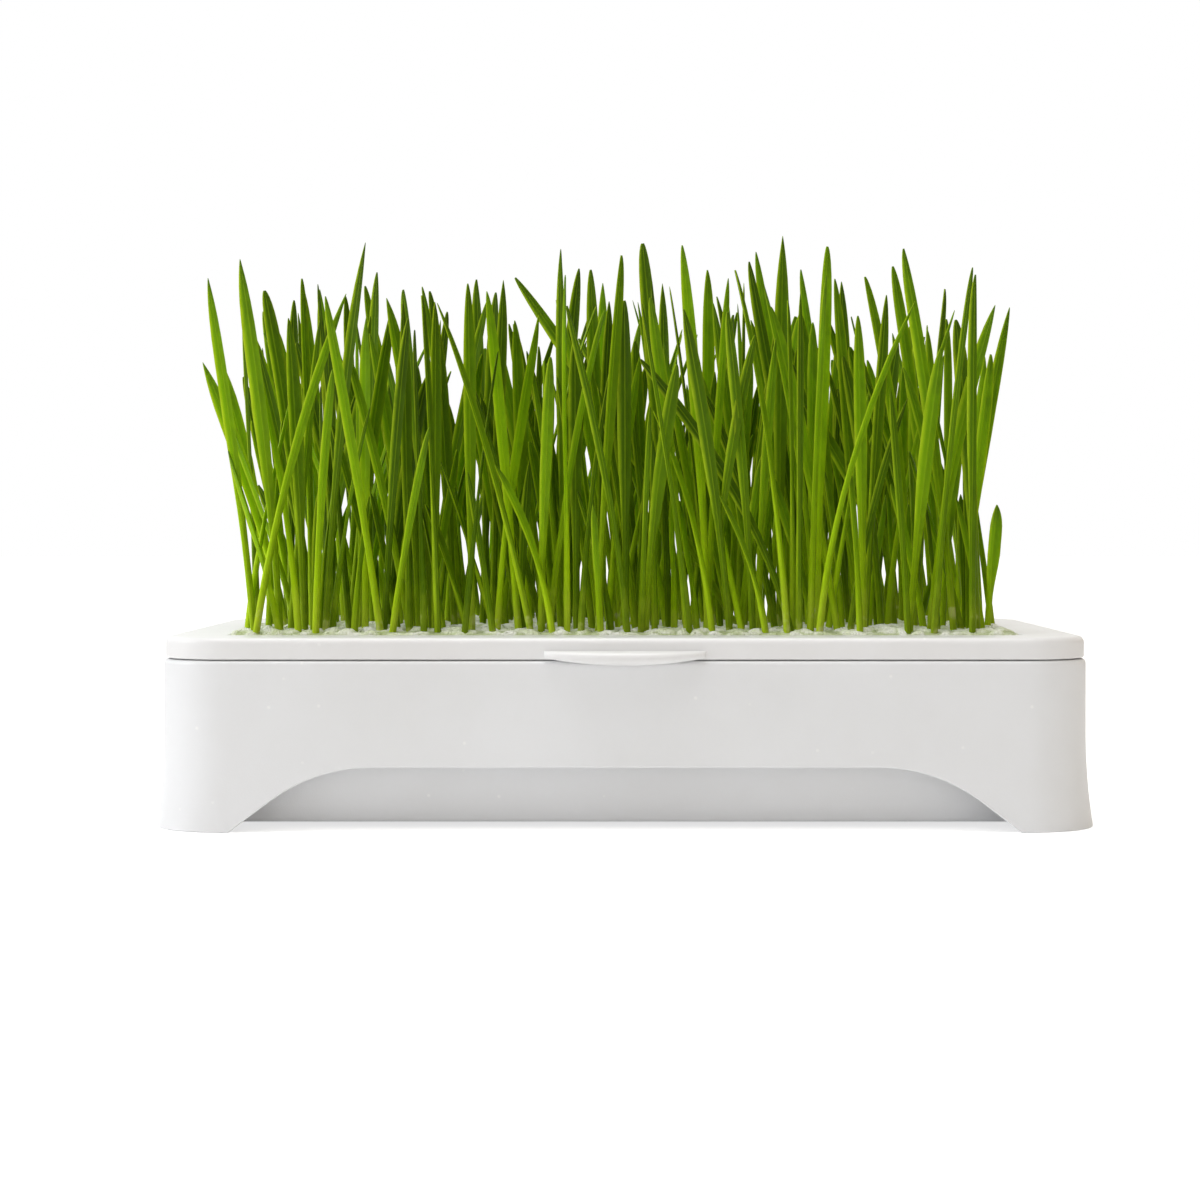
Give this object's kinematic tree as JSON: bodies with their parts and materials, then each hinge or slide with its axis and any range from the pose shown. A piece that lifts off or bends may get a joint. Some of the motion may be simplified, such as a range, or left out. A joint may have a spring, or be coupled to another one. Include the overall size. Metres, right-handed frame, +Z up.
{
  "type": "wheatgrass tray",
  "caption": "Low white moulded tray on arched feet with a lift-out grow tray, a pale root mat and a dense stand of upright green wheatgrass.",
  "frame": {"origin": "on the floor under the middle of the tray's box", "axes": "+X along the tray's long side to the right as seen from the tab, +Z up, the lifting tab towards -Y"},
  "size_m": [0.256, 0.163, 0.165],
  "materials": {
    "tray_plastic": "white injection-moulded plastic, satin",
    "root_mat": "pale, damp mat of roots and sprouted grain",
    "grass": "fresh green leaf, lime at the foot and darker at the tip",
    "water": "clear water"
  },
  "bodies": {
    "root": {"base_tub": "tray_plastic", "grow_tray": "tray_plastic", "water": "water", "root_mat": "root_mat", "grass_tuft_01": "grass", "grass_tuft_02": "grass", "grass_tuft_03": "grass", "grass_tuft_04": "grass", "grass_tuft_05": "grass", "grass_tuft_06": "grass", "grass_tuft_07": "grass", "grass_tuft_08": "grass", "grass_tuft_09": "grass", "grass_tuft_10": "grass", "grass_tuft_11": "grass", "grass_tuft_12": "grass", "grass_tuft_13": "grass", "grass_tuft_14": "grass", "grass_tuft_15": "grass", "grass_tuft_16": "grass", "grass_tuft_17": "grass", "grass_tuft_18": "grass", "grass_tuft_19": "grass", "grass_tuft_20": "grass", "grass_tuft_21": "grass", "grass_tuft_22": "grass", "grass_tuft_23": "grass", "grass_tuft_24": "grass", "grass_tuft_25": "grass", "grass_tuft_26": "grass", "grass_tuft_27": "grass", "grass_tuft_28": "grass", "grass_tuft_29": "grass", "grass_tuft_30": "grass", "grass_tuft_31": "grass", "grass_tuft_32": "grass", "grass_tuft_33": "grass", "grass_tuft_34": "grass", "grass_tuft_35": "grass", "grass_tuft_36": "grass", "grass_tuft_37": "grass", "grass_tuft_38": "grass", "grass_tuft_39": "grass", "grass_tuft_40": "grass", "grass_tuft_41": "grass", "grass_tuft_42": "grass"}
  },
  "joints": []
}
